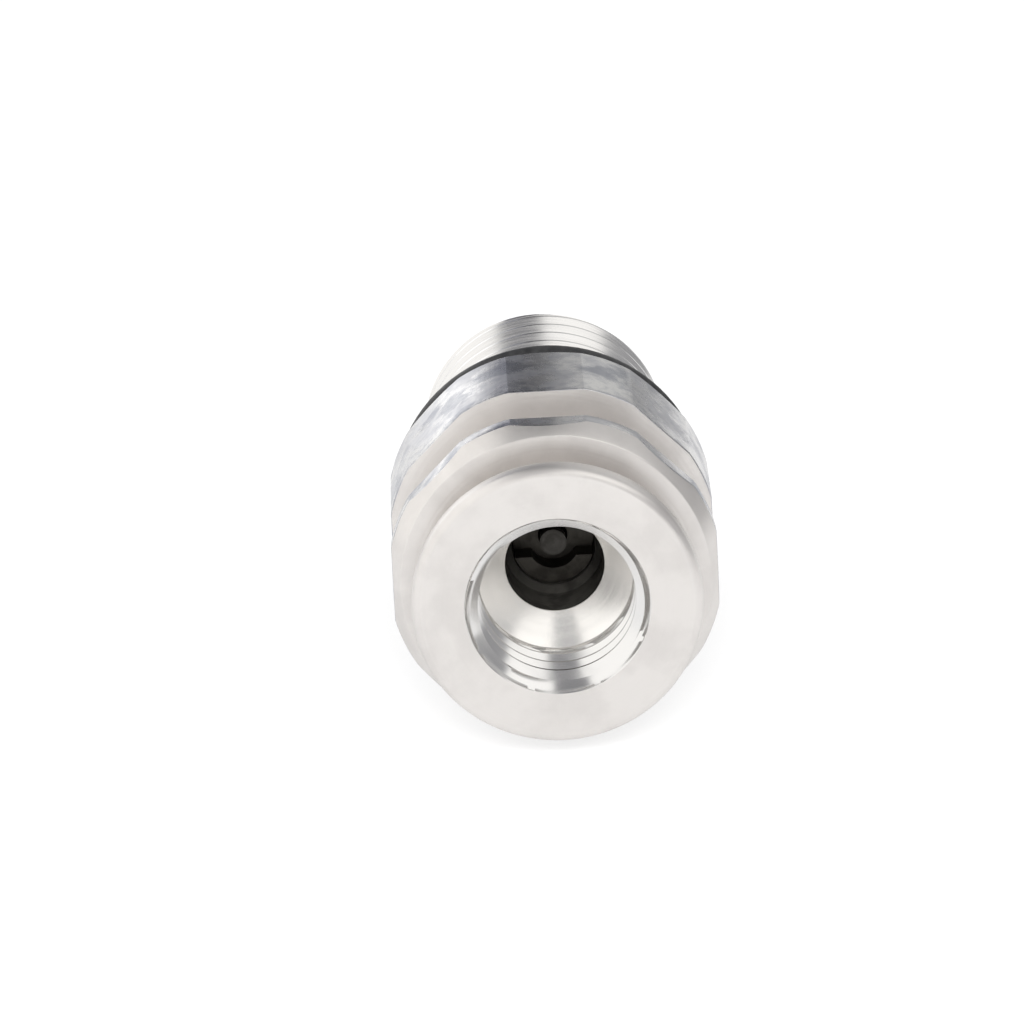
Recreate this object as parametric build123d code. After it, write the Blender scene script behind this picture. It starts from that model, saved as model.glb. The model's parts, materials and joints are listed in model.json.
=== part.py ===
from build123d import *
import math
import os

os.makedirs("parts", exist_ok=True)

# Refrigerant service valve, lying on one flat of its collar.
# The valve's axis runs along +Y, from the mouth to the threaded nose, and +Z is up.
# Sizes are in millimetres. A depth is measured along the axis from the mouth's face.

# Coupler end: the lip that a charging coupler grips, and the mouth for the dust cap
lip_radius = 8.0
lip_thickness = 1.3
lip_front_round = 0.5
lip_rear_round = 0.2
lip_overhang = 1.4
neck_length = 2.45
cap_thread_radius = 4.33
cap_thread_depth = 5.0
mouth_chamfer = 0.75
cone_length = 1.8
throat_length = 3.0

# Collar: eight wrench flats with turned corners, and a groove between two bands
across_flats = 18.0
flat_count = 8
corner_cut = 0.49
face_circle_inset = 0.4
face_chamfer_angle = 60.0
front_band_length = 2.05
groove_width = 4.55
groove_radius = 7.3
rear_band_length = 7.35

# Nose: a plain land under the sealing ring, then the thread
seal_section_radius = 0.75
seal_inset = 0.1
nose_radius = 7.0
nose_thread_length = 12.6
nose_tip_chamfer = 0.9
passage_radius = 3.0
passage_chamfer = 0.3
drill_point_angle = 118.0

# Valve core, built from its pin outwards
throat_step = 0.4
seat_step = 0.4
plug_sink = 0.3
plug_length = 4.6
tang_height = 1.5
tang_slot_width = 1.5
tang_wall = 0.85
plug_lip_thickness = 0.3
barrel_head_thickness = 0.7
barrel_head_overhang = 0.2
barrel_wall = 0.4
barrel_shoulder_thickness = 0.5
barrel_tail_length = 2.5
barrel_lip_height = 0.6
barrel_lip_wall = 0.2
shelf_thickness = 0.5
shelf_hole_gap = 0.25
gasket_length = 1.6
pin_radius = 0.5
pin_head_radius = 0.75
pin_head_length = 0.6
pin_top_sink = 0.2
pin_collar_gap = 0.145
pin_collar_thickness = 0.5
pin_collar_room = 0.4
pin_shoulder_radius = 0.8
pin_shoulder_length = 0.35
pin_rivet_radius = 0.8
pin_rivet_thickness = 0.3
pin_travel = 1.2
travel_room = 0.8
wire_radius = 0.13
spring_turns = 7
spring_gap = 0.22
spring_room_gap = 0.165
barrel_room = 0.405
cup_gap = 0.35
cup_wall = 0.15
cup_floor = 0.5
cup_seal_thickness = 0.9
cup_seal_proud = 0.25

# Clearances
thread_play = 0.05
seat_play = 0.03
swivel_play = 0.05
pin_play = 0.08
press_play = 0.02
ring_play = 0.05

# Radii along the outside, and the land that the sealing ring leaves inside the flats
neck_radius = lip_radius - lip_overhang
corner_radius = across_flats / 2 / math.cos(math.pi / flat_count) - corner_cut
face_circle_radius = across_flats / 2 - face_circle_inset
seal_land_radius = across_flats / 2 - seal_inset - 2 * seal_section_radius - ring_play
land_step = abs(nose_radius - seal_land_radius)

# Depths along the outside
collar_front = lip_thickness + neck_length
groove_front = collar_front + front_band_length
groove_rear = groove_front + groove_width
collar_rear = groove_rear + rear_band_length
land_rear = collar_rear + 2 * seal_section_radius
nose_end = land_rear + nose_thread_length

# Radii of the valve core and of the bore that holds it, from the pin outwards
spring_radius = pin_radius + spring_gap + wire_radius
spring_room_radius = spring_radius + wire_radius + spring_room_gap
pin_collar_radius = spring_room_radius - pin_collar_gap
barrel_radius = spring_room_radius + barrel_wall
barrel_head_radius = barrel_radius + barrel_head_overhang
chamber_radius = barrel_radius + barrel_room
core_thread_radius = chamber_radius + seat_step
throat_radius = core_thread_radius + throat_step
plug_radius = core_thread_radius - thread_play
cup_radius = chamber_radius - cup_gap
cup_seal_radius = cup_radius - cup_wall

# Depths of the valve core, from the throat inwards
throat_front = cap_thread_depth + cone_length
core_front = throat_front + throat_length
plug_front = core_front + plug_sink
plug_rear = plug_front + plug_length
recess_rear = plug_rear - plug_lip_thickness
recess_front = recess_rear - barrel_head_thickness - 2 * swivel_play
barrel_front = recess_front + swivel_play
gasket_front = plug_rear + swivel_play + barrel_shoulder_thickness
gasket_rear = gasket_front + gasket_length
barrel_rear = gasket_rear + barrel_shoulder_thickness + barrel_tail_length
shelf_rear = barrel_rear - barrel_lip_height
shelf_front = shelf_rear - shelf_thickness
pin_front = plug_front + pin_top_sink
pin_collar_front = recess_front + pin_collar_room
pin_collar_rear = pin_collar_front + pin_collar_thickness
cup_seal_front = barrel_rear + seat_play
cup_seal_rear = cup_seal_front + cup_seal_thickness
cup_front = cup_seal_front + cup_seal_proud
cup_rear = cup_seal_rear + cup_floor
pin_rear = cup_rear + pin_rivet_thickness
passage_front = pin_rear + pin_travel + travel_room
drill_point_length = (passage_radius - chamber_radius) / math.tan(math.radians(drill_point_angle / 2))


def turned(*outline):
    """A solid turned about the valve's axis from (radius, depth) points."""
    return revolve(make_face(Polyline(*outline, close=True)), Axis.Y)


def tube(inner, outer, front, rear):
    """A plain ring, or a solid cylinder where inner is 0."""
    return turned((inner, front), (outer, front), (outer, rear), (inner, rear))


def rim(solid, radius, depth):
    """The round edges of that radius at that depth."""
    return [
        edge
        for edge in solid.edges().filter_by(GeomType.CIRCLE)
        if abs(edge.radius - radius) < 1e-4 and abs(edge.arc_center.Y - depth) < 1e-4
    ]


def put(shape, node):
    """Moves a piece from the valve's axis to its place on the ground and writes it."""
    shape = Pos(0, -nose_end / 2, across_flats / 2) * shape
    export_step(shape, f"parts/{node}.step")


def face_chamfer():
    """How far the collar's face chamfer runs along the axis."""
    return (corner_radius - face_circle_radius) * math.tan(math.radians(face_chamfer_angle))


def valve_body():
    """The turned body: lip, neck, wrench collar, land and nose, bored through for the core."""
    chamfer_run = face_chamfer()
    tip_radius = nose_radius - nose_tip_chamfer
    outside = turned(
        (0, 0),
        (lip_radius, 0),
        (lip_radius, lip_thickness),
        (neck_radius, lip_thickness),
        (neck_radius, collar_front),
        (face_circle_radius, collar_front),
        (corner_radius, collar_front + chamfer_run),
        (corner_radius, groove_front),
        (groove_radius, groove_front),
        (groove_radius, groove_rear),
        (corner_radius, groove_rear),
        (corner_radius, collar_rear - chamfer_run),
        (face_circle_radius, collar_rear),
        (seal_land_radius, collar_rear),
        (seal_land_radius, land_rear),
        (nose_radius, land_rear + land_step),
        (nose_radius, nose_end - nose_tip_chamfer),
        (tip_radius, nose_end),
        (0, nose_end),
    )
    outside = fillet(rim(outside, lip_radius, 0), lip_front_round)
    outside = fillet(rim(outside, lip_radius, lip_thickness), lip_rear_round)
    return outside - wrench_flats() - core_bore()


def wrench_flats():
    """What is milled off the round collar to leave its eight flats."""
    front = Plane.XZ.offset(-collar_front)
    octagon = RegularPolygon(across_flats / 2, flat_count, major_radius=False, rotation=180 / flat_count - 90)
    waste = Circle(2 * corner_radius) - octagon
    return extrude(front * waste, -(collar_rear - collar_front))


def core_bore():
    """The stepped hole: mouth, cap thread, cone, throat, core thread, seal seat, chamber, passage."""
    return turned(
        (0, 0),
        (cap_thread_radius + mouth_chamfer, 0),
        (cap_thread_radius, mouth_chamfer),
        (cap_thread_radius, cap_thread_depth),
        (throat_radius, throat_front),
        (throat_radius, core_front - throat_step),
        (core_thread_radius, core_front),
        (core_thread_radius, gasket_front),
        (chamber_radius, gasket_rear),
        (chamber_radius, passage_front),
        (passage_radius, passage_front + drill_point_length),
        (passage_radius, nose_end - passage_chamfer),
        (passage_radius + passage_chamfer, nose_end),
        (0, nose_end),
    )


def base_seal():
    """The round-section rubber ring that seals the collar on the manifold."""
    ring_radius = seal_land_radius + ring_play + seal_section_radius
    ring_depth = collar_rear + seal_section_radius + press_play
    section = Pos(ring_radius, ring_depth) * Circle(seal_section_radius)
    return revolve(section, Axis.Y)


def core_plug():
    """The threaded plug that holds the core, with two wrench tangs and a rolled rear lip."""
    plug = tube(pin_head_radius + pin_play, plug_radius, plug_front, plug_rear)
    plug -= tube(0, plug_radius - tang_wall, plug_front, plug_front + tang_height)
    plug -= tube(0, barrel_head_radius + swivel_play, recess_front, recess_rear)
    plug -= tube(0, barrel_radius + swivel_play, recess_rear, plug_rear)
    slot = Box(2 * plug_radius, tang_height, tang_slot_width)
    plug -= Pos(0, plug_front + tang_height / 2, 0) * slot
    return plug


def core_barrel():
    """The barrel that hangs from the plug: head, gasket groove, tail, spring room and sealing lip."""
    head_rear = barrel_front + barrel_head_thickness
    shoulder_front = gasket_front - barrel_shoulder_thickness
    lower_shoulder_rear = gasket_rear + barrel_shoulder_thickness
    lip_radius_outside = spring_room_radius + barrel_lip_wall
    return turned(
        (spring_room_radius, barrel_front),
        (barrel_head_radius, barrel_front),
        (barrel_head_radius, head_rear),
        (barrel_radius, head_rear),
        (barrel_radius, shoulder_front),
        (core_thread_radius - barrel_lip_wall, shoulder_front),
        (core_thread_radius - barrel_lip_wall, gasket_front),
        (barrel_radius, gasket_front),
        (barrel_radius, gasket_rear),
        (chamber_radius - swivel_play, gasket_rear),
        (barrel_radius, lower_shoulder_rear),
        (barrel_radius, shelf_rear),
        (lip_radius_outside, barrel_rear),
        (spring_room_radius, barrel_rear),
        (spring_room_radius, shelf_rear),
        (pin_radius + shelf_hole_gap, shelf_rear),
        (pin_radius + shelf_hole_gap, shelf_front),
        (spring_room_radius, shelf_front),
    )


def barrel_gasket():
    """The tapered seal round the barrel, which seats in the body's cone."""
    return turned(
        (barrel_radius + press_play, gasket_front + press_play),
        (core_thread_radius - seat_play, gasket_front + press_play),
        (chamber_radius - seat_play, gasket_rear - press_play),
        (barrel_radius + press_play, gasket_rear - press_play),
    )


def core_pin():
    """The pin that the coupler presses: head, spring collar, seal shoulder and riveted end."""
    return turned(
        (0, pin_front),
        (pin_head_radius, pin_front),
        (pin_head_radius, pin_front + pin_head_length),
        (pin_radius, pin_front + pin_head_length),
        (pin_radius, pin_collar_front),
        (pin_collar_radius, pin_collar_front),
        (pin_collar_radius, pin_collar_rear),
        (pin_radius, pin_collar_rear),
        (pin_radius, cup_seal_front - pin_shoulder_length),
        (pin_shoulder_radius, cup_seal_front - pin_shoulder_length),
        (pin_shoulder_radius, cup_seal_front),
        (pin_radius, cup_seal_front),
        (pin_radius, cup_rear),
        (pin_rivet_radius, cup_rear),
        (pin_rivet_radius, pin_rear),
        (0, pin_rear),
    )


def core_spring():
    """The spring between the barrel's shelf and the pin's collar, which holds the cup shut."""
    low = pin_collar_rear + wire_radius + press_play
    height = shelf_front - wire_radius - press_play - low
    path = Helix(pitch=height / spring_turns, height=height, radius=spring_radius)
    start = Plane(path @ 0, z_dir=path % 0)
    wire = sweep(start * Circle(wire_radius), path)
    return Pos(0, low, 0) * Rot(-90, 0, 0) * wire


def core_cup():
    """The metal cup on the pin's end that carries the shut-off seal."""
    cup = tube(pin_radius + press_play, cup_radius, cup_front, cup_rear)
    return cup - tube(0, cup_seal_radius + press_play, cup_front, cup_seal_rear)


def cup_seal():
    """The rubber washer in the cup that shuts on the barrel's lip."""
    return tube(pin_radius + press_play, cup_seal_radius, cup_seal_front, cup_seal_rear - press_play)


pieces = {
    "valve_body": valve_body,
    "base_seal": base_seal,
    "core_plug": core_plug,
    "core_barrel": core_barrel,
    "barrel_gasket": barrel_gasket,
    "core_pin": core_pin,
    "core_spring": core_spring,
    "core_cup": core_cup,
    "cup_seal": cup_seal,
}

for node, make in pieces.items():
    put(make(), node)
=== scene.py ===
# %% [markdown]
# # A refrigerant service valve
# This lesson dresses a turned and milled valve, which already exists as plain solids. The solids give every size
# and place, and here the valve gets its threads, its broken edges, its finishes, a floor, lamps and a camera.
# The valve lies on one flat of its collar. Its axis runs along +Y, from the mouth to the threaded nose.

# %% Load the frame
import json
import math
import bmesh
import bpy
from mathutils import Matrix, Vector

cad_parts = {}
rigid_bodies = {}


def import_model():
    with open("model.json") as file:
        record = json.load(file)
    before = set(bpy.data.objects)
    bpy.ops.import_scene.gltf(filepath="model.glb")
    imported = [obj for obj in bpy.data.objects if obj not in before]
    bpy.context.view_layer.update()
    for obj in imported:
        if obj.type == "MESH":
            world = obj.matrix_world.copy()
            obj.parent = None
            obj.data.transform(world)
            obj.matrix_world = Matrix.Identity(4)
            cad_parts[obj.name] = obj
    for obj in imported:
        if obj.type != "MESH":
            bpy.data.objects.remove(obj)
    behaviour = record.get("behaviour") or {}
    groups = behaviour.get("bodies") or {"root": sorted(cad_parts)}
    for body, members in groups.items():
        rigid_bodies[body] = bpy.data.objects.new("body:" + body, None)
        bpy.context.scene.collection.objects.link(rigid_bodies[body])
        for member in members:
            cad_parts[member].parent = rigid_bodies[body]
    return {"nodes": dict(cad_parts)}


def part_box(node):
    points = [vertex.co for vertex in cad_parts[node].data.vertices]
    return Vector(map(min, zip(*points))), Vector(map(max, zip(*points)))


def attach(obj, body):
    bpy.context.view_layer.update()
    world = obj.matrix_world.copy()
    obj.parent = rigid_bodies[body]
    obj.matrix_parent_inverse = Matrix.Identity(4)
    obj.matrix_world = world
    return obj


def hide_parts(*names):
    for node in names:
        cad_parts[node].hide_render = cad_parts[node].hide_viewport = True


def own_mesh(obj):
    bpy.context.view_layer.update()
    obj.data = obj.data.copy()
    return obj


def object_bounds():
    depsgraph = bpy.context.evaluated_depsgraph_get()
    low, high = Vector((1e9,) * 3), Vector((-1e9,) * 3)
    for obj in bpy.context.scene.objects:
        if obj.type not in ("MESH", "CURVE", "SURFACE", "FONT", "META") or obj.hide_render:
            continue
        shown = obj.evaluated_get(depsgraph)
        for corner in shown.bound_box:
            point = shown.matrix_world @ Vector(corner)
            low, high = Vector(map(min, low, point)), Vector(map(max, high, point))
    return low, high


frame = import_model()
cad_low, cad_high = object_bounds()
print("solids:", sorted(frame["nodes"]))

# %% [markdown]
# ## Places along the valve
# A turner reads a drawing as radii and depths. Small helpers turn a radius and a depth, both in millimetres, into a
# point in metres beside the valve's axis, and such a point back into its depth and radius. Everything below is
# placed with them.

# %% Radii and depths
MM = 0.001
MICRON = 0.000001
AXIS_HEIGHT = (cad_low.z + cad_high.z) / 2
MOUTH_Y = cad_low.y
AXIS_POINT = Vector((0, MOUTH_Y, AXIS_HEIGHT))
AXIS = Vector((0, 1, 0))


def along(depth):
    """The place along Y of a depth behind the mouth's face."""
    return MOUTH_Y + depth * MM


def depth_of(point):
    """The depth of a point behind the mouth's face, in millimetres."""
    return (point.y - MOUTH_Y) / MM


def radius_of(point):
    """The distance of a point from the valve's axis, in millimetres."""
    return math.hypot(point.x, point.z - AXIS_HEIGHT) / MM


def on_profile(radius, depth):
    """A point of the half section, which lies beside the axis at its own height."""
    return Vector((radius * MM, along(depth), AXIS_HEIGHT))


print("axis height", round(AXIS_HEIGHT / MM, 3), "mm, mouth at", round(MOUTH_Y / MM, 3), "mm")

# %% [markdown]
# ## The camera
# The photograph looks into the mouth from about 21 degrees above the axis, with a long lens and the picture
# turned a little. The camera is set by its distance, two angles and a roll, and by the pixel where the mouth's
# centre falls.

# %% Camera
CAMERA_DISTANCE = 0.365
CAMERA_SIDE_ANGLE = math.radians(-0.5)
CAMERA_HEIGHT_ANGLE = math.radians(20.6)
CAMERA_ROLL = math.radians(2.8)
FOCAL_PIXELS = 6680
IMAGE_SIZE = 1024
MOUTH_PIXEL = (557.9, 606.8)

camera = bpy.data.objects.new("camera", bpy.data.cameras.new("camera"))
bpy.context.scene.collection.objects.link(camera)
bpy.context.scene.camera = camera
camera.data.sensor_width = 36
camera.data.lens = FOCAL_PIXELS * camera.data.sensor_width / IMAGE_SIZE
camera.data.clip_start = 0.01
camera.data.clip_end = 20

toward_camera = Vector((
    math.sin(CAMERA_SIDE_ANGLE) * math.cos(CAMERA_HEIGHT_ANGLE),
    -math.cos(CAMERA_SIDE_ANGLE) * math.cos(CAMERA_HEIGHT_ANGLE),
    math.sin(CAMERA_HEIGHT_ANGLE),
))
level_right = (-toward_camera).cross(Vector((0, 0, 1))).normalized()
level_up = level_right.cross(-toward_camera)
right = level_right * math.cos(CAMERA_ROLL) - level_up * math.sin(CAMERA_ROLL)
up = level_up * math.cos(CAMERA_ROLL) + level_right * math.sin(CAMERA_ROLL)
offset_right = (MOUTH_PIXEL[0] - IMAGE_SIZE / 2) / FOCAL_PIXELS * CAMERA_DISTANCE
offset_down = (MOUTH_PIXEL[1] - IMAGE_SIZE / 2) / FOCAL_PIXELS * CAMERA_DISTANCE
camera_place = AXIS_POINT + toward_camera * CAMERA_DISTANCE
aim = AXIS_POINT - right * offset_right + up * offset_down
back = (camera_place - aim).normalized()
side = up.cross(back).normalized()
turn = Matrix((side, back.cross(side), back)).transposed()
camera.matrix_world = Matrix.Translation(camera_place) @ turn.to_4x4()
print("lens", round(camera.data.lens, 1), "mm")

# %% [markdown]
# ## Shader helpers
# Each material is a small graph. These helpers add a node, join two sockets and build the maths that patterns
# need, so that a material reads as a recipe.

# %% Node helpers


def add(tree, kind, **settings):
    """Adds a node and sets its properties, and its inputs where a name is given in `inputs`."""
    inputs = settings.pop("inputs", {})
    made = tree.nodes.new(kind)
    for name, value in settings.items():
        setattr(made, name, value)
    for name, value in inputs.items():
        made.inputs[name].default_value = value
    return made


def maths(tree, operation, first, second=0.0, third=0.0):
    """One Math node, whose inputs are sockets or plain numbers."""
    made = add(tree, "ShaderNodeMath", operation=operation)
    for index, value in enumerate((first, second, third)):
        if isinstance(value, bpy.types.NodeSocket):
            tree.links.new(value, made.inputs[index])
        else:
            made.inputs[index].default_value = value
    return made.outputs[0]


def between(tree, value, low, high, to_low=0.0, to_high=1.0):
    """A smooth step of a socket from low to high."""
    made = add(tree, "ShaderNodeMapRange", interpolation_type="SMOOTHSTEP")
    tree.links.new(value, made.inputs["Value"])
    made.inputs["From Min"].default_value = low
    made.inputs["From Max"].default_value = high
    made.inputs["To Min"].default_value = to_low
    made.inputs["To Max"].default_value = to_high
    return made.outputs["Result"]


def blended(tree, share, first, second):
    """A colour between two colours, which are sockets or plain colours."""
    made = add(tree, "ShaderNodeMix", data_type="RGBA")
    tree.links.new(share, made.inputs["Factor"])
    for name, value in (("A", first), ("B", second)):
        socket = next(s for s in made.inputs if s.name == name and s.type == "RGBA")
        if isinstance(value, bpy.types.NodeSocket):
            tree.links.new(value, socket)
        else:
            socket.default_value = (*value, 1)
    return next(s for s in made.outputs if s.type == "RGBA")


def new_group(name, inputs, outputs):
    """An empty node group with its sockets, and its input and output nodes."""
    group = bpy.data.node_groups.new(name, "ShaderNodeTree")
    for label, default in inputs:
        socket = group.interface.new_socket(label, in_out="INPUT", socket_type="NodeSocketFloat")
        socket.default_value = default
    for label, kind in outputs:
        group.interface.new_socket(label, in_out="OUTPUT", socket_type=kind)
    return group, group.nodes.new("NodeGroupInput"), group.nodes.new("NodeGroupOutput")


def use_group(tree, group, **values):
    """Places a node group in a material with its own values."""
    made = add(tree, "ShaderNodeGroup", node_tree=group)
    for name, value in values.items():
        made.inputs[name.replace("_", " ")].default_value = value
    return made


# %% [markdown]
# ## Two patterns that the finishes share
# A turned face carries fine rings from the tool's tip. One number, the radius plus the depth, changes all over
# such a face, on its ends and on its sides alike, so noise along that number gives rings everywhere. The depth
# counts a little more, because a side is turned with a finer feed than a face.
# Plating and handling leave soft patches, which are a slow noise in three directions.

# %% Turning rings and patches
DEPTH_SHARE = 1.37
WANDER_SCALE = 260.0


def place_in_valve(tree):
    """The radius and depth sockets of a shaded point, in metres, from its object coordinates."""
    coordinates = add(tree, "ShaderNodeTexCoord")
    split = add(tree, "ShaderNodeSeparateXYZ")
    tree.links.new(coordinates.outputs["Object"], split.inputs[0])
    height = maths(tree, "SUBTRACT", split.outputs["Z"], AXIS_HEIGHT)
    squares = maths(tree, "ADD", maths(tree, "MULTIPLY", height, height),
                    maths(tree, "MULTIPLY", split.outputs["X"], split.outputs["X"]))
    radius = maths(tree, "SQRT", squares)
    depth = maths(tree, "SUBTRACT", split.outputs["Y"], MOUTH_Y)
    return radius, depth, coordinates.outputs["Object"]


def make_rings_group():
    """Rings left by the turning tool: a value that changes with radius plus depth."""
    group, given, result = new_group(
        "turning_rings", [("Rings per metre", 5000.0), ("Wander", 0.3)], [("Ring", "NodeSocketFloat")])
    radius, depth, place = place_in_valve(group)
    travel = maths(group, "ADD", radius, maths(group, "MULTIPLY", depth, DEPTH_SHARE))
    phase = maths(group, "MULTIPLY", travel, given.outputs["Rings per metre"])
    wander = add(group, "ShaderNodeTexNoise", inputs={"Scale": WANDER_SCALE, "Detail": 2.0})
    group.links.new(place, wander.inputs["Vector"])
    drift = maths(group, "MULTIPLY", wander.outputs["Fac"], given.outputs["Wander"])
    rings = add(group, "ShaderNodeTexNoise", noise_dimensions="1D", inputs={"Scale": 1.0, "Detail": 3.0})
    group.links.new(maths(group, "ADD", phase, drift), rings.inputs["W"])
    group.links.new(rings.outputs["Fac"], result.inputs["Ring"])
    return group


def make_patches_group():
    """Soft patches with ragged edges, from 0 to 1."""
    group, given, result = new_group(
        "surface_patches", [("Scale", 400.0), ("Low", 0.45), ("High", 0.6)], [("Patch", "NodeSocketFloat")])
    noise = add(group, "ShaderNodeTexNoise", inputs={"Detail": 5.0, "Roughness": 0.56, "Distortion": 0.15})
    group.links.new(add(group, "ShaderNodeTexCoord").outputs["Object"], noise.inputs["Vector"])
    group.links.new(given.outputs["Scale"], noise.inputs["Scale"])
    spread = add(group, "ShaderNodeMapRange", interpolation_type="SMOOTHSTEP")
    group.links.new(noise.outputs["Fac"], spread.inputs["Value"])
    group.links.new(given.outputs["Low"], spread.inputs["From Min"])
    group.links.new(given.outputs["High"], spread.inputs["From Max"])
    group.links.new(spread.outputs["Result"], result.inputs["Patch"])
    return group


RINGS = make_rings_group()
PATCHES = make_patches_group()
print("shared patterns:", RINGS.name, PATCHES.name)

# %% [markdown]
# ## The metals and the rubber
# All finishes start from one function, which makes a material with a Principled shader, and returns its graph.
# Colour, roughness and bump are then added to suit each finish, mostly by four short helpers.

# %% Material maker
RING_LOW, RING_HIGH = 0.3, 0.7


def new_material(name, colour, metallic, roughness):
    """A material with one Principled shader, set to plain values."""
    material = bpy.data.materials.new(name)
    material.use_nodes = True
    tree = material.node_tree
    tree.nodes.clear()
    shader = add(tree, "ShaderNodeBsdfPrincipled")
    shader.inputs["Base Color"].default_value = (*colour, 1)
    shader.inputs["Metallic"].default_value = metallic
    shader.inputs["Roughness"].default_value = roughness
    output = add(tree, "ShaderNodeOutputMaterial")
    tree.links.new(shader.outputs["BSDF"], output.inputs["Surface"])
    return material, tree, shader


def bump_from(tree, shader, height, distance, strength=1.0):
    """Bumps the shader's normal by a height socket."""
    bump = add(tree, "ShaderNodeBump", inputs={"Strength": strength, "Distance": distance})
    tree.links.new(height, bump.inputs["Height"])
    tree.links.new(bump.outputs["Normal"], shader.inputs["Normal"])


def rings_on(tree, shader, per_metre, wander, smooth, rough):
    """Turning rings as a socket, which also change the shader's roughness from smooth to rough."""
    rings = use_group(tree, RINGS, Rings_per_metre=per_metre, Wander=wander).outputs["Ring"]
    tree.links.new(between(tree, rings, RING_LOW, RING_HIGH, smooth, rough), shader.inputs["Roughness"])
    return rings


def patches_on(tree, scale, low, high):
    """Patches as a socket: 0 where their noise is below low, and 1 where it is above high."""
    return use_group(tree, PATCHES, Scale=scale, Low=low, High=high).outputs["Patch"]


def patched_colour(tree, shader, patches, first, second):
    """Lets the shader's colour change with the patches."""
    tree.links.new(blended(tree, patches, first, second), shader.inputs["Base Color"])


def patched_roughness(tree, shader, patches, smooth, rough):
    """Lets the shader's roughness change with the patches."""
    tree.links.new(between(tree, patches, 0.0, 1.0, smooth, rough), shader.inputs["Roughness"])


# %% [markdown]
# ### Turned plate
# The front face, the lip and the grooves are turned and nickel plated. They are satin and a little warm, with
# rings too fine to count, and a few slow patches where the plate is duller.

# %% Turned plate


def make_turned_plate():
    material, tree, shader = new_material("turned_plate", (0.785, 0.758, 0.736), 0.88, 0.34)
    rings = rings_on(tree, shader, per_metre=7000.0, wander=0.4, smooth=0.3, rough=0.4)
    patches = patches_on(tree, scale=300.0, low=0.4, high=0.68)
    patched_colour(tree, shader, patches, (0.805, 0.776, 0.752), (0.73, 0.702, 0.68))
    bump_from(tree, shader, rings, 4 * MICRON)
    return material


turned_plate = make_turned_plate()
print("made", turned_plate.name)

# %% [markdown]
# ### Milled flats
# The collar's sides look different: mottled with blue-grey blotches where the plate is thin. The flats are also
# a little crowned, so a reflection changes across them. Across a flat the radius grows like a shallow bowl, so
# bumping by the radius gives that crown, and leaves the turned corners as they are.

# %% Milled flats
FLAT_CROWN = 0.6
MOTTLE_HEIGHT = 4 * MICRON
SPECK_SHARE, STAIN_SHARE = 0.45, 0.55


def make_milled_plate():
    material, tree, shader = new_material("milled_plate", (0.8, 0.79, 0.8), 1.0, 0.24)
    blotches = patches_on(tree, scale=560.0, low=0.36, high=0.66)
    worn = blended(tree, blotches, (0.84, 0.83, 0.82), (0.68, 0.68, 0.71))
    specks = patches_on(tree, scale=1700.0, low=0.44, high=0.66)
    speckled = blended(tree, maths(tree, "MULTIPLY", specks, SPECK_SHARE), worn, (0.5, 0.51, 0.55))
    stains = maths(tree, "MULTIPLY", patches_on(tree, scale=330.0, low=0.54, high=0.64), STAIN_SHARE)
    patched_colour(tree, shader, stains, speckled, (0.26, 0.28, 0.34))
    patched_roughness(tree, shader, blotches, smooth=0.22, rough=0.34)
    radius, _, _ = place_in_valve(tree)
    crown = maths(tree, "MULTIPLY", radius, -FLAT_CROWN)
    height = maths(tree, "MULTIPLY_ADD", blotches, MOTTLE_HEIGHT, crown)
    bump_from(tree, shader, height, 1.0)
    return material


milled_plate = make_milled_plate()
print("made", milled_plate.name)

# %% [markdown]
# ### Bright bore and a throat painted dark as shade
# The mouth's cone and threads are cut last with a fine tool and stay bright, and the cone is a little more satin.
# The real cone shines as if a drill's point had left it flatter than the solid's, so a bump by the radius turns its
# shine towards the mouth. Past the cone, where the core is screwed in, the bore is dull and painted nearly black,
# which is painted shade for the deep hole.

# %% Bright bore and dark throat
CONE_TILT = 0.46


def make_fine_cut(name, colour, metallic, smooth, rough, tilt):
    """Metal with very fine rings, whose shine turns towards the valve's mouth where the tilt isn't zero."""
    material, tree, shader = new_material(name, colour, metallic, (smooth + rough) / 2)
    rings = rings_on(tree, shader, per_metre=5000.0, wander=0.2, smooth=smooth, rough=rough)
    radius, _, _ = place_in_valve(tree)
    slope = maths(tree, "MULTIPLY", radius, -tilt)
    bump_from(tree, shader, maths(tree, "MULTIPLY_ADD", rings, MICRON, slope), 1.0)
    return material


# Painted shade: the bore past the cone is coloured nearly black for the shade deep in the hole.
def make_painted_shade_throat():
    material, tree, shader = new_material("painted_shade_throat", (0.05, 0.048, 0.043), 0.5, 0.42)
    patches = patches_on(tree, scale=700.0, low=0.4, high=0.62)
    patched_colour(tree, shader, patches, (0.085, 0.081, 0.073), (0.045, 0.042, 0.038))
    patched_roughness(tree, shader, patches, smooth=0.36, rough=0.5)
    return material


bright_cut = make_fine_cut("bright_cut", (0.88, 0.87, 0.86), 1.0, 0.16, 0.26, 0.0)
satin_cone = make_fine_cut("satin_cone", (0.97, 0.95, 0.92), 0.82, 0.17, 0.27, CONE_TILT)
painted_shade_throat = make_painted_shade_throat()
print("made", bright_cut.name, satin_cone.name, painted_shade_throat.name)

# %% [markdown]
# ### Rubber, brass, plastic and steel
# The sealing ring is black rubber with a trace of oil. The core's own pieces are hidden or nearly so, but each
# still gets its real finish: dark plug, turned brass, white plastic and drawn wire.

# %% The other finishes


def make_rubber():
    material, tree, shader = new_material("black_rubber", (0.018, 0.018, 0.019), 0.0, 0.42)
    patches = patches_on(tree, scale=900.0, low=0.4, high=0.62)
    patched_colour(tree, shader, patches, (0.016, 0.016, 0.017), (0.03, 0.03, 0.031))
    patched_roughness(tree, shader, patches, smooth=0.36, rough=0.52)
    bump_from(tree, shader, patches, 10 * MICRON, 0.5)
    return material


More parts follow.
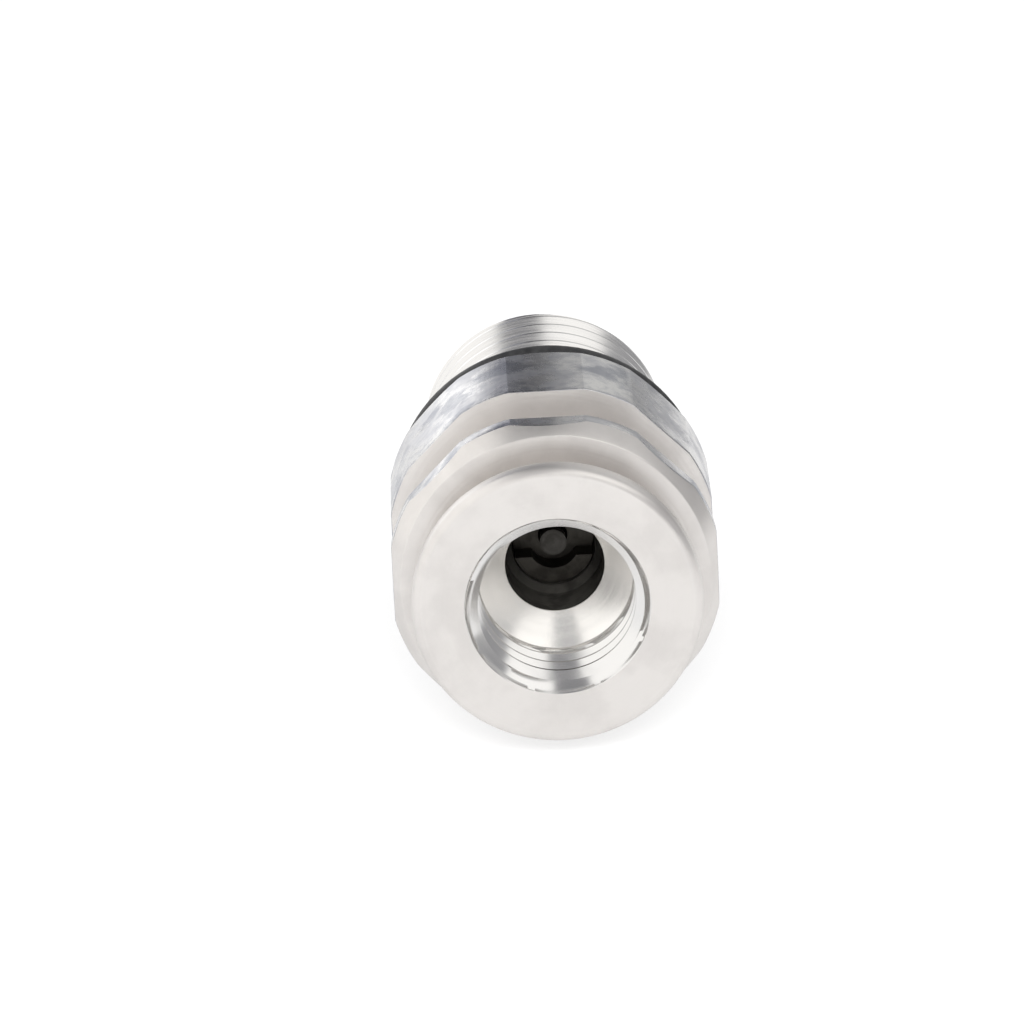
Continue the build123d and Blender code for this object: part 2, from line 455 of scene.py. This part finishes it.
def make_turned_metal(name, light, dark, roughness):
    """A small turned piece: rings in its bump and its roughness, and a slow change of colour."""
    material, tree, shader = new_material(name, light, 1.0, roughness)
    rings = rings_on(tree, shader, per_metre=9000.0, wander=0.3, smooth=roughness - 0.06, rough=roughness + 0.06)
    patched_colour(tree, shader, patches_on(tree, scale=900.0, low=0.42, high=0.64), light, dark)
    bump_from(tree, shader, rings, 3 * MICRON)
    return material


def make_white_plastic():
    material, tree, shader = new_material("white_plastic", (0.82, 0.8, 0.76), 0.0, 0.4)
    patches = patches_on(tree, scale=1200.0, low=0.4, high=0.62)
    patched_colour(tree, shader, patches, (0.84, 0.82, 0.78), (0.76, 0.74, 0.69))
    bump_from(tree, shader, patches, 4 * MICRON, 0.5)
    return material


black_rubber = make_rubber()
plug_oxide = make_turned_metal("plug_oxide", (0.09, 0.084, 0.074), (0.055, 0.051, 0.045), 0.45)
turned_brass = make_turned_metal("turned_brass", (0.78, 0.6, 0.3), (0.62, 0.46, 0.2), 0.28)
drawn_steel = make_turned_metal("drawn_steel", (0.1, 0.095, 0.088), (0.065, 0.061, 0.056), 0.42)
white_plastic = make_white_plastic()
FINISH_OF_NODE = {
    "base_seal": black_rubber,
    "core_plug": plug_oxide,
    "core_barrel": turned_brass,
    "barrel_gasket": white_plastic,
    "core_pin": drawn_steel,
    "core_cup": turned_brass,
    "cup_seal": black_rubber,
}
for node_name, finish in FINISH_OF_NODE.items():
    solid = frame["nodes"][node_name]
    solid.data.materials.clear()
    solid.data.materials.append(finish)
print("finished", len(FINISH_OF_NODE), "solids that keep their own shape")

# %% [markdown]
# ## The turned body
# A lathe makes this shape, so spinning a half section is the natural way to model it. The section is drawn as one
# line of corners from the mouth thread round the outside to the nose thread, and a second line for the tail and
# the bore. Each corner has the small round or chamfer that a turner leaves, made by bevelling that one vertex
# before the spin. The two threads are left open, because a thread isn't round: it is wound in afterwards.

# %% Half section
STEPS = 192
FLAT_COUNT = 8
FLAT_DISTANCE = 9.0
COLLAR_INSIDE = 8.5
MOUTH_RADIUS = 5.08
CAP_MINOR, CAP_MAJOR, CAP_PITCH = 4.33, 4.98, 1.25
CAP_THREAD_END = 4.6
NOSE_MINOR, NOSE_MAJOR, NOSE_PITCH = 6.08, 7.0, 1.5
NOSE_THREAD_START, NOSE_END = 19.55, 31.8
SEAM = 0.03
CORNER_STEPS = 4

# Each corner is a radius, a depth and how far from the corner its round starts.
OUTSIDE_SECTION = [
    (MOUTH_RADIUS, SEAM, 0),
    (MOUTH_RADIUS + SEAM, 0, 0),
    (8.0, 0, 0.5),
    (8.0, 1.3, 0.2),
    (6.6, 1.3, 0),
    (6.6, 3.75, 0.2),
    (8.6, 3.75, 0),
    (9.25, 4.876, 0),
    (9.25, 5.8, 0),
    (7.3, 5.8, 0.12),
    (7.3, 10.35, 0.12),
    (9.25, 10.35, 0),
    (9.25, 16.574, 0),
    (8.6, 17.7, 0),
    (7.35, 17.7, 0),
    (7.35, 19.2, 0.05),
    (NOSE_MAJOR, NOSE_THREAD_START, 0),
    (NOSE_MAJOR, NOSE_THREAD_START + SEAM, 0),
]
BORE_SECTION = [
    (NOSE_MINOR, NOSE_END - SEAM, 0),
    (NOSE_MINOR - SEAM, NOSE_END, 0),
    (3.3, NOSE_END, 0.05),
    (3.0, NOSE_END - 0.3, 0),
    (3.0, 24.211, 0),
    (1.95, 23.58, 0),
    (1.95, 16.85, 0),
    (2.35, 15.25, 0),
    (2.35, 9.8, 0),
    (2.75, 9.4, 0.05),
    (2.75, 6.8, 0.08),
    (CAP_MINOR, 5.0, 0.06),
    (CAP_MINOR, CAP_THREAD_END + SEAM, 0),
]


def spin_section(bm, section):
    """Draws an open half section, rounds its corners and spins it once round the axis."""
    verts = [bm.verts.new(on_profile(radius, depth)) for radius, depth, _ in section]
    for pair in zip(verts, verts[1:]):
        bm.edges.new(pair)
    for vert, (_, _, rounding) in zip(verts, section):
        if rounding:
            bmesh.ops.bevel(bm, geom=[vert], offset=rounding * MM, offset_type="OFFSET",
                            segments=CORNER_STEPS, profile=0.5, affect="VERTICES", material=-1)
    line = [e for e in bm.edges if not e.link_faces]
    points = [v for v in bm.verts if not v.link_faces]
    bmesh.ops.spin(bm, geom=points + line, cent=AXIS_POINT, axis=AXIS, angle=math.tau, steps=STEPS,
                   use_merge=True, use_duplicate=False)


body_mesh = bmesh.new()
spin_section(body_mesh, OUTSIDE_SECTION)
spin_section(body_mesh, BORE_SECTION)
print("turned body:", len(body_mesh.faces), "faces")

# %% [markdown]
# ## The wrench flats
# The collar is turned round first and milled afterwards, and the model follows the shop: eight planes cut away
# what stands outside them, and each cut is closed with a flat face. Only the collar reaches that far from the
# axis, so nothing else is touched.
# A cut leaves slivers beside its edge, where a plane just misses a corner of the mesh. They would spoil a bevel,
# so points too close to each other on a cut are merged first. Then all the collar's sharp edges are broken
# together, once every face looks outwards, because a bevel goes the wrong way where two neighbours disagree.

# %% Mill the flats
SHORTEST_EDGE = 0.13
CUT_SNAP, ON_THE_CUT, ON_THE_FLAT = 1e-8, 1e-7, 1e-6


def mill_flat(bm, normal):
    """Cuts the body by one plane and closes the cut."""
    plane_point = AXIS_POINT + normal * FLAT_DISTANCE * MM
    everything = bm.verts[:] + bm.edges[:] + bm.faces[:]
    bmesh.ops.bisect_plane(bm, geom=everything, dist=CUT_SNAP, plane_co=plane_point, plane_no=normal,
                           clear_outer=True)
    rim = [e for e in bm.edges if e.is_boundary
           and all(abs((v.co - plane_point).dot(normal)) < ON_THE_CUT for v in e.verts)]
    bmesh.ops.edgeloop_fill(bm, edges=rim)


flat_normals = []
for index in range(FLAT_COUNT):
    angle = math.tau * index / FLAT_COUNT
    flat_normals.append(Vector((math.sin(angle), 0, math.cos(angle))))
for normal in flat_normals:
    mill_flat(body_mesh, normal)


def on_a_flat(point):
    """True where a point lies in the plane of a wrench flat."""
    out = point - AXIS_POINT
    return any(abs(out.dot(normal) - FLAT_DISTANCE * MM) < ON_THE_FLAT for normal in flat_normals)


flat_verts = [v for v in body_mesh.verts if on_a_flat(v.co)]
bmesh.ops.remove_doubles(body_mesh, verts=flat_verts, dist=SHORTEST_EDGE * MM)
print("milled", len(flat_normals), "flats")

# %% Break the collar's edges
SHARP_FROM = math.radians(20)
EDGE_BREAK = 0.06
bmesh.ops.recalc_face_normals(body_mesh, faces=body_mesh.faces)
collar_edges = [e for e in body_mesh.edges if all(radius_of(v.co) > COLLAR_INSIDE for v in e.verts)
                and e.calc_face_angle(0) > SHARP_FROM]
bmesh.ops.bevel(body_mesh, geom=collar_edges, offset=EDGE_BREAK * MM, offset_type="OFFSET", segments=2,
                profile=0.5, affect="EDGES", clamp_overlap=True, material=-1)
print("broke", len(collar_edges), "edges of the collar")

# %% [markdown]
# ## The threads
# A thread is one notch wound along a helix, so it is a spin that also moves forward. The notch is a chain of points
# over exactly one pitch. One turn is spun and then copied, one pitch further each time, which is much quicker than
# spinning every turn, and neighbouring turns meet, so they can be merged into one skin.
# A real thread doesn't stop dead: it rises out of a plain surface, and it is cut off by the chamfer at the end.
# Both are limits on the radius that change with depth. After that the skin is cut square at both ends, where its
# section is a circle again, and bridged to the turned body.

# %% Thread helpers
# In millimetres: points closer than the first are merged, and a rim may be off its radius by the second.
TURN_GAP, RIM_GAP = 0.002, 0.08
SPARE_PITCHES = 1.5

# A thread's notch is a share of the pitch and a share of the thread's height at each point.
THREAD_SHAPE = [
    (0.0, 0.0), (0.0835, 0.0), (0.2015, 0.333), (0.3195, 0.667), (0.4375, 1.0),
    (0.5625, 1.0), (0.6805, 0.667), (0.7985, 0.333), (0.9165, 0.0), (1.0, 0.0),
]


def wind_thread(root, crest, pitch, first, last, limit):
    """A helical skin from one depth to another, with its radius kept by `limit(radius, depth)`."""
    bm = bmesh.new()
    turns = math.ceil((last - first) / pitch + 2 * SPARE_PITCHES)
    start = first - SPARE_PITCHES * pitch
    verts = [bm.verts.new(on_profile(root + (crest - root) * height, start + share * pitch))
             for share, height in THREAD_SHAPE]
    edges = [bm.edges.new(pair) for pair in zip(verts, verts[1:])]
    bmesh.ops.spin(bm, geom=verts + edges, cent=AXIS_POINT, axis=AXIS, dvec=AXIS * pitch * MM / STEPS,
                   angle=math.tau, steps=STEPS, use_merge=False, use_duplicate=False)
    first_turn = bm.verts[:] + bm.edges[:] + bm.faces[:]
    for index in range(1, turns):
        copied = bmesh.ops.duplicate(bm, geom=first_turn)["geom"]
        moved = [v for v in copied if isinstance(v, bmesh.types.BMVert)]
        bmesh.ops.translate(bm, verts=moved, vec=AXIS * pitch * index * MM)
    bmesh.ops.remove_doubles(bm, verts=bm.verts, dist=TURN_GAP * MM)
    for vert in bm.verts:
        radius = radius_of(vert.co)
        wanted = limit(radius, depth_of(vert.co))
        vert.co.x *= wanted / radius
        vert.co.z = AXIS_HEIGHT + (vert.co.z - AXIS_HEIGHT) * wanted / radius
    for depth, direction in ((first, -AXIS), (last, AXIS)):
        everything = bm.verts[:] + bm.edges[:] + bm.faces[:]
        plane_point = Vector((0, along(depth), AXIS_HEIGHT))
        bmesh.ops.bisect_plane(bm, geom=everything, dist=CUT_SNAP, plane_co=plane_point, plane_no=direction,
                               clear_outer=True)
    return bm


def take_in(bm, other):
    """Adds another bmesh to this one."""
    carrier = bpy.data.meshes.new("carrier")
    other.to_mesh(carrier)
    other.free()
    bm.from_mesh(carrier)
    bpy.data.meshes.remove(carrier)


def open_rim(bm, depth, radius):
    """The open edges round the body at that depth and near that radius."""
    return [e for e in bm.edges if e.is_boundary
            and all(abs(depth_of(v.co) - depth) < TURN_GAP for v in e.verts)
            and all(abs(radius_of(v.co) - radius) < RIM_GAP for v in e.verts)]


def join_rims(bm, first, second):
    """Closes the narrow gap between two rims, each given as a depth and a radius."""
    bmesh.ops.bridge_loops(bm, edges=open_rim(bm, *first) + open_rim(bm, *second))


# %% [markdown]
# The nose thread is M14 x 1.5. It fades in over nearly one turn behind the sealing ring, and the chamfer at the
# tip cuts it down to its root. The cap thread in the mouth is M10 x 1.25, where the material is outside the
# surface, so the two limits change places.

# %% Wind both threads
NOSE_FADE_LENGTH = 1.4
CAP_FADE_LENGTH = 0.5


def nose_limit(radius, depth):
    """Full at the start, thread depth over one fade length, and never outside the chamfer at the tip."""
    fade = NOSE_MAJOR - (NOSE_MAJOR - NOSE_MINOR) * (depth - NOSE_THREAD_START - 2 * SEAM) / NOSE_FADE_LENGTH
    tip = NOSE_MINOR + (NOSE_END - 2 * SEAM - depth)
    return max(NOSE_MINOR, min(max(radius, min(fade, NOSE_MAJOR)), tip))


def cap_limit(radius, depth):
    """Never inside the chamfer of the mouth, and back to the plain bore before the cone."""
    chamfer = MOUTH_RADIUS - max(depth - 2 * SEAM, 0)
    fade = CAP_MINOR + (CAP_MAJOR - CAP_MINOR) * (CAP_THREAD_END - SEAM - depth) / CAP_FADE_LENGTH
    return max(CAP_MINOR, chamfer, min(radius, fade))


nose_first, nose_last = NOSE_THREAD_START + 2 * SEAM, NOSE_END - 2 * SEAM
take_in(body_mesh, wind_thread(NOSE_MINOR, NOSE_MAJOR, NOSE_PITCH, nose_first, nose_last, nose_limit))
join_rims(body_mesh, (nose_first - SEAM, NOSE_MAJOR), (nose_first, NOSE_MAJOR))
join_rims(body_mesh, (nose_last, NOSE_MINOR), (nose_last + SEAM, NOSE_MINOR))
cap_first, cap_last = 2 * SEAM, CAP_THREAD_END
take_in(body_mesh, wind_thread(CAP_MAJOR, CAP_MINOR, CAP_PITCH, cap_first, cap_last, cap_limit))
join_rims(body_mesh, (cap_first - SEAM, MOUTH_RADIUS), (cap_first, MOUTH_RADIUS))
join_rims(body_mesh, (cap_last, CAP_MINOR), (cap_last + SEAM, CAP_MINOR))
bmesh.ops.recalc_face_normals(body_mesh, faces=body_mesh.faces)
open_edges = sum(not e.is_manifold for e in body_mesh.edges)
print("threaded body:", len(body_mesh.faces), "faces,", open_edges, "open edges")

# %% [markdown]
# ## One body, five finishes
# Each face takes its finish from where it is: the collar's sides are mottled, both threads are cut bright, the
# cone is satin, the bore past it is painted dark as shade, and all the rest is turned plate. The shading normals
# are weighted by area, so that big flat faces stay flat beside their narrow bevels.

# %% Finish the body
REAL_CORNER, FLAT_MEETS_CORNER = math.radians(38), math.radians(8)
COLLAR_SIDE = 8.93
ALONG_THE_VALVE = 0.9
CONE_END = 6.82
BORE_LIMIT = 5.2
TAIL_START = NOSE_END - 1


def finish_index(face):
    """0 for turned plate, 1 for the collar's sides, 2 for a bright cut, 3 for the bore painted dark as shade, 4 for
    the cone.
    """
    middle = face.calc_center_median()
    depth, radius = depth_of(middle), radius_of(middle)
    if radius > COLLAR_SIDE:
        return 1
    if depth > NOSE_THREAD_START and radius > NOSE_MINOR - SEAM:
        return 2
    if radius > BORE_LIMIT or depth > TAIL_START:
        return 0
    # Past the cone the bore gets the nearly black colour that stands for the shade deep in the hole.
    if depth > CONE_END:
        return 3
    return 4 if depth > CAP_THREAD_END else 2


def is_sharp(edge):
    """Sharp at a real corner, and where a flat meets a turned corner of the collar along the valve."""
    angle = edge.calc_face_angle(0)
    run = edge.verts[1].co - edge.verts[0].co
    runs_along = abs(run.y) > ALONG_THE_VALVE * run.length
    beside_flat = runs_along and all(radius_of(v.co) > COLLAR_SIDE for v in edge.verts)
    return angle > (FLAT_MEETS_CORNER if beside_flat else REAL_CORNER)


def finished_piece(name, bm, finishes, body):
    """Makes an object of a bmesh, shades it by area and puts it on its body."""
    mesh = bpy.data.meshes.new(name)
    bm.to_mesh(mesh)
    bm.free()
    for finish in finishes:
        mesh.materials.append(finish)
    piece = bpy.data.objects.new(name, mesh)
    bpy.context.scene.collection.objects.link(piece)
    weighted = piece.modifiers.new("shade_by_area", "WEIGHTED_NORMAL")
    weighted.keep_sharp = True
    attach(piece, body)
    return piece


for face in body_mesh.faces:
    face.material_index = finish_index(face)
    face.smooth = True
for edge in body_mesh.edges:
    edge.smooth = not is_sharp(edge)
BODY_FINISHES = [turned_plate, milled_plate, bright_cut, painted_shade_throat, satin_cone]
threaded_body = finished_piece("threaded_body", body_mesh, BODY_FINISHES, "valve")
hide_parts("valve_body")
print("made", threaded_body.name, "with", len(threaded_body.data.polygons), "faces")

# %% [markdown]
# ## The core's spring
# The solid spring is an even helix. A real one has its last turn closed up at each end, so that it sits square on
# the barrel's shelf and on the pin's collar. It is wound like a thread, with a round section and three pitches.

# %% Wind the spring
WIRE_RADIUS = 0.13
COIL_RADIUS = 0.85
WIRE_SIDES = 12
COIL_STEPS = 40
OPEN_TURNS = 5
CLOSED_SPACING = 2.05
spring_low, spring_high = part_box("core_spring")
spring_front, spring_rear = depth_of(spring_low), depth_of(spring_high)
closed_pitch = CLOSED_SPACING * WIRE_RADIUS
coil_length = spring_rear - spring_front - 2 * WIRE_RADIUS
open_pitch = (coil_length - 2 * closed_pitch) / OPEN_TURNS
spring_mesh = bmesh.new()
section = bmesh.ops.create_circle(spring_mesh, cap_ends=True, segments=WIRE_SIDES, radius=WIRE_RADIUS * MM)
bmesh.ops.translate(spring_mesh, verts=section["verts"], vec=on_profile(COIL_RADIUS, spring_front + WIRE_RADIUS))
end_geometry = spring_mesh.verts[:] + spring_mesh.edges[:] + spring_mesh.faces[:]
for pitch, turns in ((closed_pitch, 1), (open_pitch, OPEN_TURNS), (closed_pitch, 1)):
    wound = bmesh.ops.spin(spring_mesh, geom=end_geometry, cent=AXIS_POINT, axis=AXIS,
                           dvec=AXIS * pitch * MM / COIL_STEPS, angle=math.tau * turns, steps=COIL_STEPS * turns,
                           use_merge=False, use_duplicate=False)
    end_geometry = wound["geom_last"]
bmesh.ops.recalc_face_normals(spring_mesh, faces=spring_mesh.faces)
for face in spring_mesh.faces:
    face.smooth = True
wound_spring = finished_piece("wound_spring", spring_mesh, [drawn_steel], "valve")
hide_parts("core_spring")
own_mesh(wound_spring)

# %% [markdown]
# ## Floor, light and background
# The floor is a plain pale plane. To the camera it is nearly white and still takes a soft shadow, in reflections it
# is a little darker, and it lights the valve like any pale table.
# Two large soft lamps stand above on the left and on the right, and a third shines from over the camera into the
# mouth. They are kept out of reflections, which show the room instead.

# %% Floor
FLOOR_SIZE = 1.6
FLOOR_GLOW, FLOOR_REFLECTED_GLOW = 0.74, 0.54


def make_floor_material():
    """Pale and matt, but to the camera and in reflections mostly an even glow that still takes a shadow."""
    material = bpy.data.materials.new("pale_floor")
    material.use_nodes = True
    tree = material.node_tree
    tree.nodes.clear()
    path = add(tree, "ShaderNodeLightPath")
    seen = maths(tree, "MAXIMUM", path.outputs["Is Camera Ray"], path.outputs["Is Glossy Ray"])
    reflected = maths(tree, "MULTIPLY", path.outputs["Is Glossy Ray"], FLOOR_REFLECTED_GLOW)
    matt = add(tree, "ShaderNodeBsdfDiffuse")
    tree.links.new(blended(tree, seen, (0.88, 0.88, 0.88), (0.3, 0.3, 0.3)), matt.inputs["Color"])
    white = add(tree, "ShaderNodeEmission", inputs={"Color": (1, 1, 1, 1)})
    glow = maths(tree, "MULTIPLY_ADD", path.outputs["Is Camera Ray"], FLOOR_GLOW, reflected)
    tree.links.new(glow, white.inputs["Strength"])
    both = add(tree, "ShaderNodeAddShader")
    tree.links.new(matt.outputs[0], both.inputs[0])
    tree.links.new(white.outputs[0], both.inputs[1])
    output = add(tree, "ShaderNodeOutputMaterial")
    tree.links.new(both.outputs[0], output.inputs["Surface"])
    return material


floor_mesh = bmesh.new()
bmesh.ops.create_grid(floor_mesh, x_segments=1, y_segments=1, size=FLOOR_SIZE / 2)
floor_data = bpy.data.meshes.new("floor")
floor_mesh.to_mesh(floor_data)
floor_mesh.free()
floor_data.materials.append(make_floor_material())
floor = bpy.data.objects.new("floor", floor_data)
bpy.context.scene.collection.objects.link(floor)
floor.location.z = cad_low.z
print("floor at", round(floor.location.z / MM, 3), "mm")

# %% Lamps
LAMP_DISTANCE = 0.45
LAMP_SIZE = (0.34, 0.7)
LAMP_BRIGHTNESS = 1.1
LAMP_ELEVATION = math.radians(50)


def soft_lamp(name, side_sign):
    """A large soft lamp over one side of the valve, turned to it and long along the valve's axis."""
    data = bpy.data.lights.new(name, "AREA")
    data.shape = "RECTANGLE"
    data.size, data.size_y = LAMP_SIZE
    data.energy = LAMP_BRIGHTNESS * math.pi * LAMP_SIZE[0] * LAMP_SIZE[1]
    lamp = bpy.data.objects.new(name, data)
    bpy.context.scene.collection.objects.link(lamp)
    place = Vector((side_sign * math.cos(LAMP_ELEVATION), 0, math.sin(LAMP_ELEVATION))) * LAMP_DISTANCE
    back_of_lamp = place.normalized()
    across = AXIS.cross(back_of_lamp)
    turned_to_valve = Matrix((across, AXIS, back_of_lamp)).transposed().to_4x4()
    lamp.matrix_world = Matrix.Translation(place) @ turned_to_valve
    lamp.visible_glossy = False


soft_lamp("lamp_left", -1)
soft_lamp("lamp_right", 1)
print("two soft lamps")

# %% Lamp over the camera
FRONT_LAMP_PLACE = Vector((0.0, -0.5, 0.36))
FRONT_LAMP_SIZE = 0.3
FRONT_LAMP_BRIGHTNESS = 15.0
front_data = bpy.data.lights.new("lamp_front", "AREA")
front_data.shape = "DISK"
front_data.size = FRONT_LAMP_SIZE
front_data.energy = FRONT_LAMP_BRIGHTNESS * math.pi * FRONT_LAMP_SIZE ** 2
front_lamp = bpy.data.objects.new("lamp_front", front_data)
bpy.context.scene.collection.objects.link(front_lamp)
turned_to_mouth = (FRONT_LAMP_PLACE - AXIS_POINT).to_track_quat("Z", "Y")
front_lamp.matrix_world = Matrix.Translation(FRONT_LAMP_PLACE) @ turned_to_mouth.to_matrix().to_4x4()
front_lamp.visible_glossy = False
print("a front lamp that reaches into the mouth")

# %% [markdown]
# ### What the metal reflects
# The lamps light the matt floor and rubber. What bright metal shows is the room round it, so the world holds soft
# panels for reflections alone. They are long and run along the valve's axis, like strip lights and black cards
# beside a table, so each is an angle round that axis: 0 is straight up, and positive angles are on the right.
# Round surfaces then show light and dark streaks along their length. Each panel also has a reach along the axis,
# from -1 behind the camera to 1 behind the valve. A later panel covers an earlier one.

# %% Surroundings
WORLD_DIFFUSE = 0.25
ROOM_LEVEL = (1.08, 1.07, 1.05)
ANGLE_FADE, REACH_FADE = 6.0, 0.2
# Each panel is the angles in degrees where it starts and ends, its reach from and to, and its colour.
PANELS = [
    (-25, 7, -2.0, -0.1, (0.26, 0.26, 0.27)),
    (52, 92, -2.0, -0.1, (0.32, 0.32, 0.33)),
    (-22, 9, -0.1, 2.0, (0.12, 0.12, 0.127)),
    (6, 130, -0.1, 2.0, (0.3, 0.3, 0.305)),
    (6, 56, -0.1, 2.0, (0.46, 0.46, 0.46)),
    (-42, -16, 0.6, 2.0, (0.25, 0.255, 0.29)),
    (26, 64, 0.6, 2.0, (0.62, 0.62, 0.61)),
    (-110, -44, 0.6, 2.0, (1.3, 1.3, 1.3)),
]


def inside(tree, value, low, high, fade):
    """1 where a socket is between two values and 0 outside them, with soft ends."""
    rising = between(tree, value, low - fade / 2, low + fade / 2)
    falling = between(tree, value, high - fade / 2, high + fade / 2, 1, 0)
    return maths(tree, "MULTIPLY", rising, falling)


def make_world():
    """White to the camera, a low even level on matt surfaces, and soft panels in reflections."""
    world = bpy.data.worlds.new("studio")
    bpy.context.scene.world = world
    world.use_nodes = True
    tree = world.node_tree
    tree.nodes.clear()
    split = add(tree, "ShaderNodeSeparateXYZ")
    tree.links.new(add(tree, "ShaderNodeTexCoord").outputs["Generated"], split.inputs[0])
    round_the_axis = maths(tree, "ARCTAN2", split.outputs["X"], split.outputs["Z"])
    angle = maths(tree, "DEGREES", round_the_axis)
    room = ROOM_LEVEL
    for start, end, reach_from, reach_to, colour in PANELS:
        share = maths(tree, "MULTIPLY", inside(tree, angle, start, end, ANGLE_FADE),
                      inside(tree, split.outputs["Y"], reach_from, reach_to, REACH_FADE))
        room = blended(tree, share, room, colour)
    path = add(tree, "ShaderNodeLightPath")
    matt_level = (WORLD_DIFFUSE, WORLD_DIFFUSE, WORLD_DIFFUSE)
    level = blended(tree, path.outputs["Is Glossy Ray"], matt_level, room)
    level = blended(tree, path.outputs["Is Camera Ray"], level, (1, 1, 1))
    background = add(tree, "ShaderNodeBackground")
    tree.links.new(level, background.inputs["Color"])
    output = add(tree, "ShaderNodeOutputWorld")
    tree.links.new(background.outputs[0], output.inputs["Surface"])


make_world()
bpy.context.scene.view_settings.view_transform = "Standard"
print("world with", len(PANELS), "panels, and view set")
